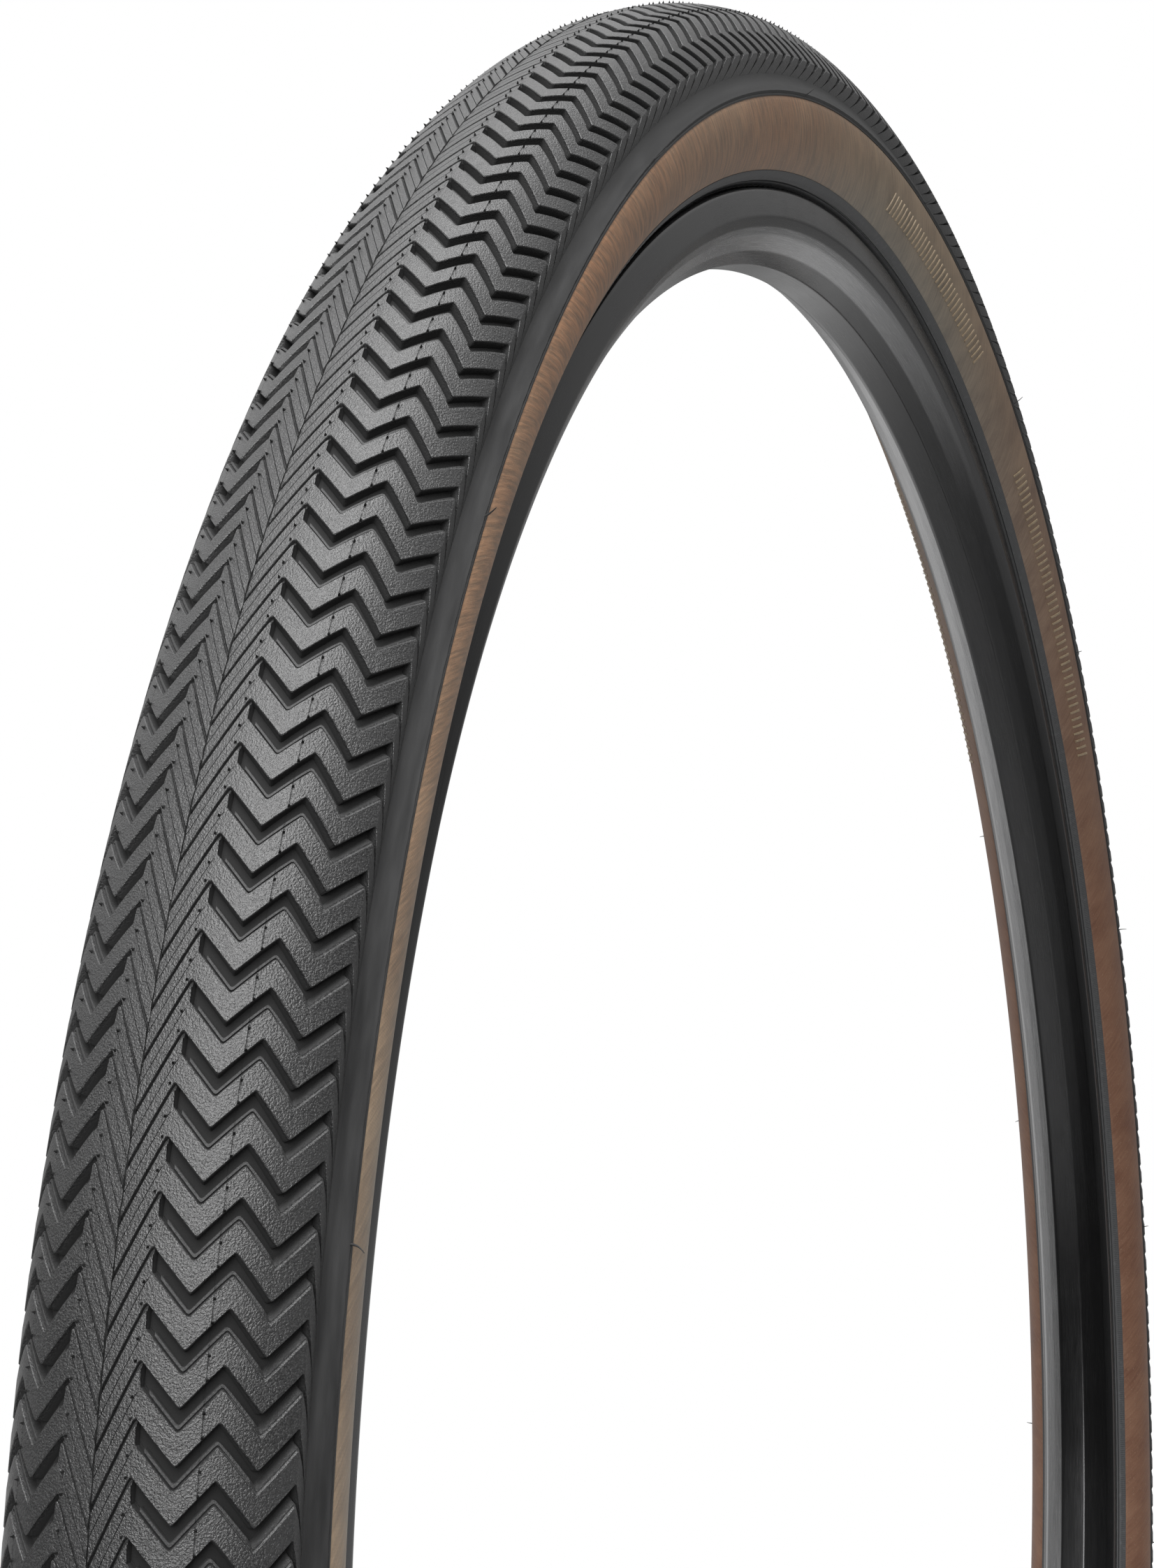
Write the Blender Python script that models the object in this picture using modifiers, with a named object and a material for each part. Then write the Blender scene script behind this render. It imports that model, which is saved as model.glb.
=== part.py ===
"""A bicycle tire mounted tubeless on its rim hoop, built as an assembly of separate pieces.

The wheel stands upright: the axle direction is Y, Z is up and the origin is the wheel's centre.
The left side of the wheel is +Y and the right side is -Y. Every tire and rim piece is a profile
of (radius from the axle, distance along the axle), turned about the axle. The valve stands at
the lowest point of the rim and its stem points up at the wheel's centre. Units are metres.
"""
import math

import bpy

# ---- driving dimensions -------------------------------------------------------------------
BEAD_SEAT_R = 0.3110          # half of the 622 mm bead seat diameter
TIRE_HEIGHT = 0.0470          # bead seat to the top of the tread
TIRE_HALF_WIDTH = 0.0220
SHOULDER_POWER = 2.3          # superellipse power of the tread's half of the section
GAP = 0.0003                  # clearance that touching pieces keep
RING_STEPS = 40               # flats round the wheel

FLANGE_HEIGHT = 0.0060        # rim edge above the bead seat
RIM_HALF_WIDTH = 0.0127
RIM_DEPTH = 0.0163            # rim edge to the rim's inner face
BRAKE_TRACK_HEIGHT = 0.0060
INNER_FACE_HALF_WIDTH = 0.0037
WELL_DEPTH = 0.0034           # centre well below the bead seat

TREAD_THICKNESS = 0.0026
PLY_THICKNESS = 0.0004
SKIN_THICKNESS = 0.0004
TAPE_THICKNESS = 0.0003
BEAD_CORE_RADIUS = 0.0010
CROWN_LAYER_PITCH = 0.0007    # from one layer's middle surface to the next, under the tread
BELT_HALF_ANGLE = 50          # section angle of the belt's edge, in degrees

STEM_RADIUS = 0.0029
STEM_BORE = 0.0019
STEM_FLANGE_RADIUS = 0.0042
VALVE_HOLE_RADIUS = 0.00325
STEM_BASE_Z = -0.3137         # the stem's foot, against the rim's well
STEM_TIP_Z = -0.2660
CORE_RADIUS = 0.0016
CORE_HEAD_RADIUS = 0.0023
CORE_PIN_RADIUS = 0.0007
CORE_NUT_HEIGHT = 0.0030
NUT_OPEN_GAP = 0.0026         # the core nut stands this far off the core when it is unscrewed
CAP_RADIUS = 0.0041
TURNED_STEPS = 20             # flats round the valve's turned pieces

# ---- sizes worked out from them ------------------------------------------------------------
TIRE_R = BEAD_SEAT_R + TIRE_HEIGHT
SECTION_R = TIRE_R - TIRE_HALF_WIDTH          # radius at which the section is widest
RIM_EDGE_R = BEAD_SEAT_R + FLANGE_HEIGHT
RIM_INNER_R = RIM_EDGE_R - RIM_DEPTH
CREASE_R = RIM_EDGE_R - 0.0006 - BRAKE_TRACK_HEIGHT
WELL_R = BEAD_SEAT_R - WELL_DEPTH

BELT_DEPTH = TREAD_THICKNESS + 0.0005
PLY_DEPTH = BELT_DEPTH + CROWN_LAYER_PITCH
LINER_DEPTH = PLY_DEPTH + CROWN_LAYER_PITCH
SKIN_DEPTH = 0.0005           # a sidewall's middle surface below the tire's outer surface
PLY_SIDE_DEPTH = SKIN_DEPTH + 2 * CROWN_LAYER_PITCH
LINER_SIDE_DEPTH = PLY_SIDE_DEPTH + CROWN_LAYER_PITCH
PLY_TURN_UP_DEPTH = SKIN_DEPTH + CROWN_LAYER_PITCH

# Section angles are measured at the section's centre, from the tread's crown towards the bead.
LAYER_ANGLES = (26, 52, 78, 104, 134)
WING_ANGLE = 92               # where the tread's black wing ends and the tan sidewall starts
CHAFER_ANGLE = 136            # where the sidewall ends and the chafer starts

BEAD_CORE_Y = 0.00765
BEAD_CORE_R = BEAD_SEAT_R + 0.0033
CHAFER_Y = 0.00985            # chafer's middle surface beside the bead
PLY_OUTER_Y = BEAD_CORE_Y + BEAD_CORE_RADIUS + GAP + PLY_THICKNESS / 2
PLY_INNER_Y = BEAD_CORE_Y - BEAD_CORE_RADIUS - GAP - PLY_THICKNESS / 2

CORE_TOP_Z = STEM_TIP_Z + 0.0025
CORE_BOTTOM_Z = STEM_TIP_Z - 0.0100


# ---- helpers -------------------------------------------------------------------------------
def clear_scene():
    for old in list(bpy.data.objects):
        bpy.data.objects.remove(old, do_unlink=True)


def new_collection(name):
    collection = bpy.data.collections.new(name)
    bpy.context.scene.collection.children.link(collection)
    return collection


def material(name, colour, roughness, metallic=0.0):
    mat = bpy.data.materials.new(name)
    mat.use_nodes = True
    shader = mat.node_tree.nodes["Principled BSDF"]
    shader.inputs["Base Color"].default_value = (*colour, 1.0)
    shader.inputs["Roughness"].default_value = roughness
    shader.inputs["Metallic"].default_value = metallic
    mat.diffuse_color = (*colour, 1.0)
    return mat


def line_object(name, points, closed, collection):
    """A mesh of edges through points (radius, height), in the XZ plane."""
    mesh = bpy.data.meshes.new(name)
    count = len(points)
    edges = [(i, i + 1) for i in range(count - 1)]
    if closed:
        edges.append((count - 1, 0))
    mesh.from_pydata([(r, 0.0, h) for r, h in points], edges, [])
    obj = bpy.data.objects.new(name, mesh)
    collection.objects.link(obj)
    return obj


def outer_side_down(points):
    """The closed outline, ordered so that it runs down its outer side."""
    area = 0.0
    for (r0, h0), (r1, h1) in zip(points, points[1:] + points[:1]):
        area += r0 * h1 - r1 * h0
    return points if area < 0 else points[::-1]


def add_screw(obj, steps, merge=0.0):
    screw = obj.modifiers.new("turn", "SCREW")
    screw.axis = "Z"
    screw.angle = math.tau
    screw.steps = screw.render_steps = steps
    screw.use_merge_vertices = merge > 0
    screw.merge_threshold = merge if merge > 0 else 0.00001
    screw.use_smooth_shade = False


def lay_on_axle(obj):
    """Turn a piece made round Z so that its axis is the axle and its height is along +Y."""
    obj.rotation_euler = (-math.pi / 2, 0.0, 0.0)


def finish(obj, mat):
    obj.data.materials.append(mat)
    return obj


def solid_ring(name, outline, mat):
    """A ring round the axle with a closed cross-section."""
    obj = line_object(name, outer_side_down(outline), True, PARTS)
    add_screw(obj, RING_STEPS)
    lay_on_axle(obj)
    return finish(obj, mat)


def shell_ring(name, line, thickness, mat):
    """A thin ring round the axle: an open line with a thickness."""
    obj = line_object(name, line, False, PARTS)
    add_screw(obj, RING_STEPS)
    solid = obj.modifiers.new("thickness", "SOLIDIFY")
    solid.thickness = thickness
    solid.offset = 0.0
    solid.use_even_offset = True
    lay_on_axle(obj)
    return finish(obj, mat)


def turned_piece(name, outline, mat, steps=TURNED_STEPS):
    """A piece turned about the valve's axis: points (radius, height), closed off the axis."""
    obj = line_object(name, outer_side_down(outline), True, PARTS)
    add_screw(obj, steps)
    return finish(obj, mat)


def turned_bar(name, outline, mat, steps=TURNED_STEPS):
    """A turned piece whose open outline starts and ends on the valve's axis, top to bottom."""
    obj = line_object(name, outline, False, PARTS)
    add_screw(obj, steps, merge=0.00001)
    return finish(obj, mat)


def cylinder_between(name, radius, start, end, collection, vertices):
    length = end - start
    bpy.ops.mesh.primitive_cylinder_add(
        vertices=vertices, radius=radius, depth=length, location=(0.0, 0.0, start + length / 2))
    obj = bpy.context.object
    obj.name = name
    for other in list(obj.users_collection):
        other.objects.unlink(obj)
    collection.objects.link(obj)
    return obj


def hide_cutter(obj):
    obj.hide_render = True
    obj.display_type = "WIRE"


def cut(obj, cutter):
    boolean = obj.modifiers.new("cut " + cutter.name, "BOOLEAN")
    boolean.operation = "DIFFERENCE"
    boolean.solver = "EXACT"
    boolean.object = cutter


def mirrored(points):
    """The points, then the same points on the other side in the opposite order."""
    return points + [(r, -h) for r, h in reversed(points)]


def on_side(points, side):
    return [(r, side * h) for r, h in points]


# ---- the tire's section --------------------------------------------------------------------
def section_point(angle, depth):
    """The point at a section angle in degrees, a depth below the tire's outer surface."""
    radians = math.radians(angle)
    power = SHOULDER_POWER if abs(angle) < 90 else 2.0
    spread = abs(math.cos(radians)) ** power + abs(math.sin(radians)) ** power
    reach = TIRE_HALF_WIDTH * spread ** (-1.0 / power) - depth
    return SECTION_R + reach * math.cos(radians), reach * math.sin(radians)


def layer_depth(angle, crown, side):
    """A layer lies at the crown depth under the tread and at the side depth below it."""
    share = min(max((angle - 60.0) / 44.0, 0.0), 1.0)
    return crown + (side - crown) * share


def layer_half(angles, crown, side):
    return [section_point(a, layer_depth(a, crown, side)) for a in angles]


# ---- tire ----------------------------------------------------------------------------------
def make_tread_cap(mat):
    outer = [section_point(a, 0.0) for a in (0, 13, 26, 39, 52, 65, 78, WING_ANGLE)]
    inner = [section_point(a, d) for a, d in ((WING_ANGLE, 0.0007), (78, 0.0015), (52, TREAD_THICKNESS),
                                              (26, TREAD_THICKNESS), (0, TREAD_THICKNESS))]
    half = outer[1:] + inner[:-1]
    solid_ring("tread_cap", [outer[0]] + half + [inner[-1]] + on_side(half[::-1], -1), mat)


def make_breaker_belt(mat):
    half = [section_point(a, BELT_DEPTH) for a in (BELT_HALF_ANGLE / 2, BELT_HALF_ANGLE)]
    line = mirrored(half[::-1])
    line.insert(len(half), section_point(0, BELT_DEPTH))
    shell_ring("breaker_belt", line, PLY_THICKNESS, mat)


def make_casing_ply(mat):
    """One cord ply from bead to bead. It passes inside each core, wraps under it and turns up."""
    under_bead_r = BEAD_CORE_R - BEAD_CORE_RADIUS - GAP - PLY_THICKNESS / 2
    half = layer_half(LAYER_ANGLES, PLY_DEPTH, PLY_SIDE_DEPTH)
    half += [(BEAD_CORE_R + 0.0016, PLY_INNER_Y), (under_bead_r, PLY_INNER_Y),
             (under_bead_r, PLY_OUTER_Y), (BEAD_CORE_R + 0.0030, PLY_OUTER_Y)]
    half += [section_point(a, PLY_TURN_UP_DEPTH) for a in (145, 134, 119)]
    line = mirrored(half[::-1])
    line.insert(len(half), section_point(0, PLY_DEPTH))
    shell_ring("casing_ply", line, PLY_THICKNESS, mat)


def make_inner_liner(mat):
    """The butyl layer that seals the casing. Its edges end beside the beads' toes."""
    half = layer_half(LAYER_ANGLES, LINER_DEPTH, LINER_SIDE_DEPTH)
    half += [(BEAD_CORE_R + 0.0021, PLY_INNER_Y - 0.0007),
             (BEAD_CORE_R - 0.0010, PLY_INNER_Y - 0.0007)]
    line = mirrored(half[::-1])
    line.insert(len(half), section_point(0, LINER_DEPTH))
    shell_ring("inner_liner", line, PLY_THICKNESS, mat)


def make_sidewall(name, side, mat):
    line = [section_point(a, SKIN_DEPTH) for a in (WING_ANGLE + 2, 104, 119, 134)]
    shell_ring(name, on_side(line, side), SKIN_THICKNESS, mat)


def make_chafer(name, side, mat):
    """The woven strip that guards the bead: out over the rim's edge and under the bead."""
    line = [section_point(a, SKIN_DEPTH) for a in (CHAFER_ANGLE, 146)]
    line += [(RIM_EDGE_R - 0.0002, CHAFER_Y), (BEAD_SEAT_R + 0.0011, CHAFER_Y),
             (BEAD_SEAT_R + 0.0011, BEAD_CORE_Y - 0.0004)]
    shell_ring(name, on_side(line, side), SKIN_THICKNESS, mat)


def make_bead_core(name, side, mat):
    corners = 6
    outline = []
    for i in range(corners):
        turn = math.tau * i / corners
        outline.append((BEAD_CORE_R + BEAD_CORE_RADIUS * math.cos(turn),
                        side * BEAD_CORE_Y + BEAD_CORE_RADIUS * math.sin(turn)))
    solid_ring(name, outline, mat)


# ---- rim -----------------------------------------------------------------------------------
def make_valve_hole_cutter():
    cutter = cylinder_between("valve_hole", VALVE_HOLE_RADIUS, -RIM_EDGE_R, -RIM_INNER_R + 0.004,
                              CUTTERS, TURNED_STEPS)
    hide_cutter(cutter)
    return cutter


def make_rim_hoop(mat, valve_hole):
    """A hollow, double-walled hoop with hooked flanges, a brake track and a slanted lower wall."""
    half = [(WELL_R, 0.0044), (BEAD_SEAT_R, 0.0060), (BEAD_SEAT_R, 0.0111), (0.3146, 0.0111),
            (0.3154, 0.0104), (RIM_EDGE_R, 0.0110), (RIM_EDGE_R, RIM_HALF_WIDTH - 0.0006),
            (RIM_EDGE_R - 0.0006, RIM_HALF_WIDTH), (CREASE_R, RIM_HALF_WIDTH),
            (0.3066, 0.0106), (0.3034, 0.0074), (RIM_INNER_R, INNER_FACE_HALF_WIDTH)]
    rim = solid_ring("rim_hoop", mirrored(half), mat)
    hollow_half = [(0.3062, 0.0049), (0.3096, 0.0066), (0.3096, 0.0112), (0.3054, 0.0078),
                   (0.3022, 0.0030)]
    hollow = line_object("rim_hollow", outer_side_down(mirrored(hollow_half)), True, CUTTERS)
    add_screw(hollow, RING_STEPS)
    lay_on_axle(hollow)
    hide_cutter(hollow)
    cut(rim, hollow)
    cut(rim, valve_hole)


def make_rim_joint_pins(mat):
    """Two pins inside the hollow hold the hoop's ends together, on a flat beside the top."""
    pin_radius, pin_length, pin_r = 0.0008, 0.040, 0.3073
    flat_angle = math.radians(90.0 - 180.0 / RING_STEPS)
    for name, side in (("rim_joint_pin_left", 1), ("rim_joint_pin_right", -1)):
        pin = cylinder_between(name, pin_radius, -pin_length / 2, pin_length / 2, PARTS, 10)
        pin.location = (pin_r * math.cos(flat_angle), side * 0.0082, pin_r * math.sin(flat_angle))
        pin.rotation_euler = (0.0, math.pi - flat_angle, 0.0)
        finish(pin, mat)


def make_rim_tape(mat, valve_hole):
    lift = GAP + TAPE_THICKNESS / 2
    half = [(BEAD_SEAT_R + lift, 0.0107), (BEAD_SEAT_R + lift, 0.0059), (WELL_R + lift, 0.0043)]
    tape = shell_ring("rim_tape", mirrored(half), TAPE_THICKNESS, mat)
    cut(tape, valve_hole)


# ---- valve, along Z below the wheel's centre -------------------------------------------------
def make_valve_grommet(mat):
    bore = STEM_RADIUS + GAP
    turned_piece("valve_grommet", [(bore, -0.3124), (0.0041, -0.3124), (0.0041, -0.3096),
                                   (0.0038, -0.3086), (bore, -0.3086)], mat)


def make_valve_stem(mat):
    flange_top = STEM_BASE_Z + 0.0010
    turned_piece("valve_stem", [(STEM_BORE, STEM_BASE_Z), (STEM_FLANGE_RADIUS, STEM_BASE_Z),
                                (STEM_FLANGE_RADIUS, flange_top), (STEM_RADIUS, flange_top),
                                (STEM_RADIUS, STEM_TIP_Z - 0.0004), (STEM_RADIUS - 0.0004, STEM_TIP_Z),
                                (STEM_BORE, STEM_TIP_Z)], mat)


def make_lock_ring(mat):
    """The rubber ring under the lock nut, a round section turned about the stem."""
    middle_r, middle_z, section = 0.0041, -0.2993, 0.0007
    outline = []
    for i in range(8):
        turn = math.tau * i / 8
        outline.append((middle_r + section * math.cos(turn), middle_z + section * math.sin(turn)))
    turned_piece("valve_lock_ring", outline, mat)


def make_lock_nut(mat):
    low, high, bore = -0.2983, -0.2938, STEM_RADIUS + GAP
    turned_piece("valve_lock_nut", [(bore, low), (0.0050, low), (0.0055, low + 0.0005),
                                    (0.0055, high - 0.0010), (0.0046, high), (bore, high)], mat)


def make_core_body(mat):
    bore = CORE_PIN_RADIUS + GAP
    head_base = STEM_TIP_Z + GAP
    turned_piece("valve_core_body", [(bore, CORE_BOTTOM_Z), (CORE_RADIUS, CORE_BOTTOM_Z),
                                     (CORE_RADIUS, head_base), (CORE_HEAD_RADIUS, head_base),
                                     (CORE_HEAD_RADIUS, CORE_TOP_Z - 0.0003),
                                     (CORE_HEAD_RADIUS - 0.0004, CORE_TOP_Z),
                                     (bore, CORE_TOP_Z)], mat)


def make_core_pin(mat):
    tip, foot = CORE_TOP_Z + 0.0082, CORE_BOTTOM_Z - 0.0028
    turned_bar("valve_core_pin", [(0.0, tip), (0.0005, tip), (CORE_PIN_RADIUS, tip - 0.0003),
                                  (CORE_PIN_RADIUS, foot + 0.0008), (0.0012, foot + 0.0008),
                                  (0.0012, foot), (0.0, foot)], mat, 12)


def make_core_seal(mat):
    low, high, bore = CORE_BOTTOM_Z - 0.0017, CORE_BOTTOM_Z - GAP, CORE_PIN_RADIUS + GAP
    turned_piece("valve_core_seal", [(bore, low), (0.0015, low), (0.0015, high - 0.0003),
                                     (0.0013, high), (bore, high)], mat, 12)


def make_core_nut(mat):
    low, bore = CORE_TOP_Z + NUT_OPEN_GAP, CORE_PIN_RADIUS + GAP
    high = low + CORE_NUT_HEIGHT
    turned_piece("valve_core_nut", [(bore, low), (0.0017, low), (0.0022, low + 0.0005),
                                    (0.0022, high - 0.0007), (0.0016, high), (bore, high)], mat)


def make_valve_cap(mat):
    """A plastic cap pushed over the end of the stem, open at its lower end."""
    bore, open_end = STEM_RADIUS + GAP, STEM_TIP_Z - 0.0070
    closed_end = CORE_TOP_Z + 0.0102
    turned_bar("valve_cap", [(0.0, closed_end), (0.0022, closed_end), (0.0036, closed_end - 0.0030),
                             (CAP_RADIUS, CORE_TOP_Z + 0.0010), (CAP_RADIUS, open_end), (bore, open_end),
                             (bore, CORE_TOP_Z + 0.0010), (0.0028, closed_end - 0.0032),
                             (0.0016, closed_end - 0.0010), (0.0, closed_end - 0.0010)], mat)


# ---- the assembly ----------------------------------------------------------------------------
def shade(parts):
    for obj in parts.objects:
        obj.data.shade_flat()


def build():
    tread_rubber = material("tread_rubber", (0.06, 0.06, 0.06), 0.65)
    tan_rubber = material("tan_rubber", (0.24, 0.15, 0.10), 0.60)
    cord_fabric = material("cord_fabric", (0.45, 0.36, 0.26), 0.80)
    belt_fabric = material("belt_fabric", (0.55, 0.48, 0.20), 0.80)
    chafer_fabric = material("chafer_fabric", (0.05, 0.055, 0.06), 0.70)
    aramid = material("aramid", (0.65, 0.52, 0.18), 0.60)
    butyl = material("butyl", (0.03, 0.03, 0.03), 0.50)
    anodised = material("anodised_aluminium", (0.10, 0.10, 0.10), 0.35, 1.0)
    bare_steel = material("bare_steel", (0.55, 0.55, 0.55), 0.35, 1.0)
    tape_film = material("tape_film", (0.10, 0.22, 0.45), 0.40)
    valve_metal = material("valve_metal", (0.62, 0.60, 0.56), 0.30, 1.0)
    brass = material("brass", (0.70, 0.52, 0.22), 0.30, 1.0)
    valve_rubber = material("valve_rubber", (0.03, 0.03, 0.03), 0.60)
    cap_plastic = material("cap_plastic", (0.03, 0.03, 0.03), 0.45)

    make_tread_cap(tread_rubber)
    make_breaker_belt(belt_fabric)
    make_casing_ply(cord_fabric)
    make_inner_liner(butyl)
    for word, side in (("left", 1), ("right", -1)):
        make_sidewall("sidewall_" + word, side, tan_rubber)
        make_chafer("chafer_" + word, side, chafer_fabric)
        make_bead_core("bead_core_" + word, side, aramid)

    valve_hole = make_valve_hole_cutter()
    make_rim_hoop(anodised, valve_hole)
    make_rim_joint_pins(bare_steel)
    make_rim_tape(tape_film, valve_hole)

    make_valve_grommet(valve_rubber)
    make_valve_stem(valve_metal)
    make_lock_ring(valve_rubber)
    make_lock_nut(valve_metal)
    make_core_body(brass)
    make_core_pin(brass)
    make_core_seal(valve_rubber)
    make_core_nut(brass)
    make_valve_cap(cap_plastic)
    shade(PARTS)


clear_scene()
PARTS = new_collection("bicycle_tire")
CUTTERS = new_collection("cutters")
build()
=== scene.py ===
"""The looks of a tubeless bicycle tire with a zigzag tread and tan sidewalls, on a black rim hoop.

Every ring is swept about the axle (Y) from an outline of (radius, distance along the axle).
An angle round the wheel is measured from +X towards +Z. The left side is +Y.
"""
import math
import random

import bmesh
import bpy
import numpy as np
from mathutils import Matrix, Vector


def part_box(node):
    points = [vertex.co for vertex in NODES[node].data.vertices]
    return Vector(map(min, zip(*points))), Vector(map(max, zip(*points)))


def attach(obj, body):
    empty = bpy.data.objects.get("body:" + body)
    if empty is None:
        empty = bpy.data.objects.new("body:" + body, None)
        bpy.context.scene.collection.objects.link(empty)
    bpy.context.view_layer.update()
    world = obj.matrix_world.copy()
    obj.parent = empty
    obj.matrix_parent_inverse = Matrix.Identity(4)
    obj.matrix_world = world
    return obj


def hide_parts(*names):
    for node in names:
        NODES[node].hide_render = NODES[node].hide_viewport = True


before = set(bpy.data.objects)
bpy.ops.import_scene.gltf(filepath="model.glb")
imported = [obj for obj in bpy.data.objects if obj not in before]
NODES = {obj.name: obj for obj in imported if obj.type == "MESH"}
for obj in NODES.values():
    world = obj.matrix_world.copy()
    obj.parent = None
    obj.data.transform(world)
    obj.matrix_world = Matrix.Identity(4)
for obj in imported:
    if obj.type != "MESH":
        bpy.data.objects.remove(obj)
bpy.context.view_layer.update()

MM = 0.001
TAU = math.tau
SIDES = (("left", 1), ("right", -1))

# ---- sizes taken from the frame --------------------------------------------------------------
TIRE_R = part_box("tread_cap")[1].z
HALF_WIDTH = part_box("tread_cap")[1].y
SECTION_R = TIRE_R - HALF_WIDTH
SHOULDER_POWER = 2.3
FLOOR_Z = -TIRE_R

# ---- driving sizes of the tread, in metres -----------------------------------------------------
PITCHES = 318                 # zigzag grooves round the tire
PITCH = TAU * TIRE_R / PITCHES
PHASES = {1: 4.85 * MM, -1: 2.3 * MM}     # how far round each half's first groove starts
TREAD_DEPTH = 2.6 * MM        # rubber under the tread's surface
EDGE = 0.16 * MM              # worn edge of a rib
CORNER = 0.25 * MM            # rounding of the zigzag's corners

# Distances across the tread, from the centre seam outwards along the surface.
SEAM = 0.0
PEAK_1 = 5.2 * MM
POCKET = 5.55 * MM            # the deep groove starts here, beside the first peak
VALLEY_1 = 10.8 * MM
ZONE_LINE = 13.9 * MM         # between the crown's rubber and the shoulder's
PEAK_2 = 16.0 * MM
VALLEY_2 = 21.4 * MM
LUG_END = 27.3 * MM
GROOVE_TIP = 30.5 * MM
WING_START = 31.0 * MM
WING_END = 36.2 * MM

# Each table gives a value at places across the tread; between them it runs straight.
GROOVE_LINE = ((SEAM, 11.1 * MM), (PEAK_1, 0.0), (VALLEY_1, 5.8 * MM), (PEAK_2, 0.0),
               (VALLEY_2, 5.8 * MM), (LUG_END, 0.0), (WING_START, 9.5 * MM))
GROOVE_DEPTH = ((SEAM, 0.65 * MM), (POCKET - EDGE, 0.65 * MM), (POCKET, 1.8 * MM),
                (VALLEY_2, 1.8 * MM), (LUG_END, 1.75 * MM), (GROOVE_TIP, 1.4 * MM))
TOP_DEPTH = ((SEAM, 0.0), (VALLEY_2, 0.0), (LUG_END, -0.4 * MM), (WING_START, 1.35 * MM))
FLOOR_WIDTH = ((SEAM, 0.55 * MM), (POCKET - EDGE, 0.55 * MM), (POCKET, 2.6 * MM),
               (6.5 * MM, 2.6 * MM), (6.7 * MM, 2.05 * MM), (14.6 * MM, 2.05 * MM),
               (PEAK_2, 2.2 * MM), (17.4 * MM, 2.0 * MM), (VALLEY_2, 1.85 * MM),
               (LUG_END, 1.6 * MM), (GROOVE_TIP, 0.3 * MM))
GROOVE_WIDTH = ((SEAM, 0.9 * MM), (POCKET - EDGE, 0.9 * MM), (POCKET, 2.95 * MM),
                (VALLEY_2, 2.95 * MM), (LUG_END, 2.8 * MM), (GROOVE_TIP, 0.45 * MM))
SHELF_START = ((SEAM, 0.5 * MM), (POCKET - EDGE, 0.5 * MM), (POCKET, 1.8 * MM),
               (6.5 * MM, 1.8 * MM), (6.7 * MM, 0.5 * MM), (PEAK_2, 0.5 * MM),
               (20.8 * MM, 0.3 * MM), (22.6 * MM, 1.6 * MM), (LUG_END, 1.2 * MM),
               (GROOVE_TIP, 0.0))
SHELF_END = ((SEAM, 0.4 * MM), (POCKET - EDGE, 0.4 * MM), (POCKET, 1.75 * MM),
             (6.5 * MM, 1.75 * MM), (6.7 * MM, 0.5 * MM), (PEAK_2, 0.5 * MM),
             (VALLEY_2, 0.22 * MM), (LUG_END, 0.2 * MM), (GROOVE_TIP, 0.0))
HAIRLINE_DEPTH = ((SEAM, 0.24 * MM), (4.6 * MM, 0.24 * MM), (POCKET - EDGE, 0.0))
HAIRLINE_AT = 3.9 * MM        # below the groove's upper edge
HAIRLINE_HALF = 0.13 * MM
SLOT_WIDTH = 0.4 * MM         # the slot between the low bar and the next rib
SLOT_DEPTH = ((SEAM, 0.0), (6.5 * MM, 0.0), (6.7 * MM, 0.45 * MM), (PEAK_2, 0.35 * MM),
              (17.0 * MM, 0.08 * MM), (VALLEY_2, 0.05 * MM), (22.6 * MM, 0.0), (WING_START, 0.0))
TREAD_SMOOTHING = 20.0        # degrees: sharper corners of the tread stay sharp

# What the mould leaves. Nubs stand at (across the tread, round it from the groove's edge), in mm.
FLASH_NUBS = ((4.6, 3.3), (4.6, 6.0), (13.9, 3.75), (13.9, 6.75))
LUG_NUBS = ((26.7, 3.7), (26.7, 6.4))
NUB_HALF = 0.2 * MM
NUB_HEIGHT = 0.55 * MM
NUB_ROOT = 0.05 * MM          # how far a nub reaches into the rubber
FIN_ROOT = 0.12 * MM
FIN_HEIGHT = 0.22 * MM        # the ragged fin at the middle is at most this high
HAIRS = 18                    # vent hairs on each side
HAIR_START = 168.4            # degrees round the wheel
HAIR_PLACE = 35.3 * MM        # across the tread
HAIR_R = 0.22 * MM            # at the hair's root

# ---- driving sizes of the sidewalls, rim and valve ---------------------------------------------
WALL_END = 53.14 * MM         # the tan rubber's lower edge
WALL_DEPTH = 0.06 * MM        # the tan rubber's surface lies this far below the section's line
MARK_GROUPS = ((84.5, 35), (53.5, 43), (264.5, 35), (233.5, 43))   # middle angle and bars
MARK_R = 0.331                # the bars' mean distance from the axle
WALL_R = 0.33                 # a mean radius, to turn an angle into a length
RIM_WALL_R = 0.309            # a radius between the hoop's two walls
RIM_ROUNDING = 0.5 * MM
VALVE_HOLE_R = 3.25 * MM
DRILL_LENGTH = 30.0 * MM
STEM_R = 2.9 * MM
THREAD_PITCH = 0.8 * MM
THREAD_DEPTH = 0.35 * MM

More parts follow.
